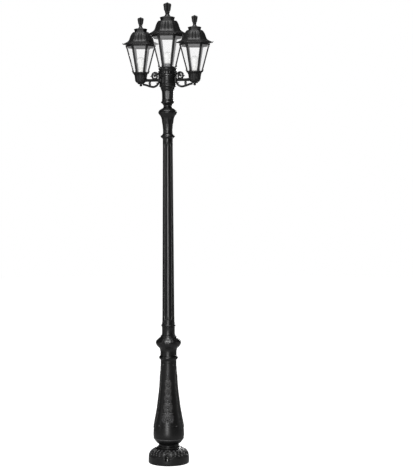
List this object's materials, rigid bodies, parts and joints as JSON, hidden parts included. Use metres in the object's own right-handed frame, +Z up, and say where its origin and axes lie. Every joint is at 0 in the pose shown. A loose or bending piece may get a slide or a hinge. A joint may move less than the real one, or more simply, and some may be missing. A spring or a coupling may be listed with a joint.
{
  "type": "street lamp post",
  "caption": "Black cast lamp post with a fluted shaft, scrolled arms, three hexagonal lanterns, a hinged centre roof and a swinging access door.",
  "frame": {"origin": "centre of the base flange's underside, on the post's axis", "axes": "+Z up the post; the access door faces -Y; the lantern arms lie along -19.6 and 160.4 degrees about +Z from +X"},
  "size_m": [0.63, 0.3508, 3.1955],
  "materials": {
    "cast_black": "satin black paint over cast texture",
    "post_black": "satin black powder coat",
    "lantern_black": "satin black paint",
    "galvanised_steel": "dull galvanised",
    "zinc_steel": "bright zinc plate",
    "black_steel": "blackened",
    "brass": "turned brass",
    "cream_plastic": "moulded",
    "hazy_pane": "clear with a light haze",
    "white_enamel": "white enamel",
    "porcelain": "glazed",
    "opal_lamp": "opal"
  },
  "bodies": {
    "post": {"anchor_bolt_1": "zinc_steel", "anchor_bolt_2": "zinc_steel", "anchor_bolt_3": "zinc_steel", "arm_hub": "post_black", "arm_left": "post_black", "arm_right": "post_black", "base_column": "cast_black", "base_flange": "cast_black", "cap_nut_left": "lantern_black", "cap_nut_right": "lantern_black", "capital": "post_black", "centre_cage": "lantern_black", "centre_diffuser": "hazy_pane", "centre_hinge_pin": "black_steel", "centre_lamp": "opal_lamp", "centre_lamp_holder": "porcelain", "centre_lamp_plate": "white_enamel", "core_tube": "galvanised_steel", "door_pivot_screw": "zinc_steel", "earth_screw": "brass", "fluted_shaft": "post_black", "foot_tube": "galvanised_steel", "hub_neck": "post_black", "knop": "cast_black", "left_cage": "lantern_black", "left_crown": "lantern_black", "left_cup": "lantern_black", "left_diffuser": "hazy_pane", "left_finial": "lantern_black", "left_lamp": "opal_lamp", "left_lamp_holder": "porcelain", "left_lamp_plate": "white_enamel", "left_roof": "lantern_black", "lock_insert": "zinc_steel", "lower_collar": "post_black", "right_cage": "lantern_black", "right_crown": "lantern_black", "right_cup": "lantern_black", "right_diffuser": "hazy_pane", "right_finial": "lantern_black", "right_lamp": "opal_lamp", "right_lamp_holder": "porcelain", "right_lamp_plate": "white_enamel", "right_roof": "lantern_black", "slot_tube": "galvanised_steel", "terminal_block": "cream_plastic", "terminal_carrier": "cream_plastic", "upper_ring": "post_black"},
    "access_door": {"access_door": "cast_black"},
    "door_captive_screw": {"door_captive_screw": "zinc_steel"},
    "centre_roof": {"centre_roof": "lantern_black", "centre_crown": "lantern_black", "centre_finial": "lantern_black"}
  },
  "joints": [
    {"name": "door_swing", "type": "hinge", "parent": "post", "child": "access_door", "pos_m": [0, -0.04355, 0.628], "axis": [0, -0.9959, 0.091], "range_deg": [-112, 112]},
    {"name": "captive_screw_turn", "type": "hinge", "parent": "access_door", "child": "door_captive_screw", "pos_m": [0, -0.0754, 0.27945], "axis": [0, -0.9959, 0.091], "continuous": true},
    {"name": "centre_roof_hinge", "type": "hinge", "parent": "post", "child": "centre_roof", "pos_m": [0, 0.10528, 2.96886], "axis": [-1, 0, 0], "range_deg": [0, 105]}
  ]
}
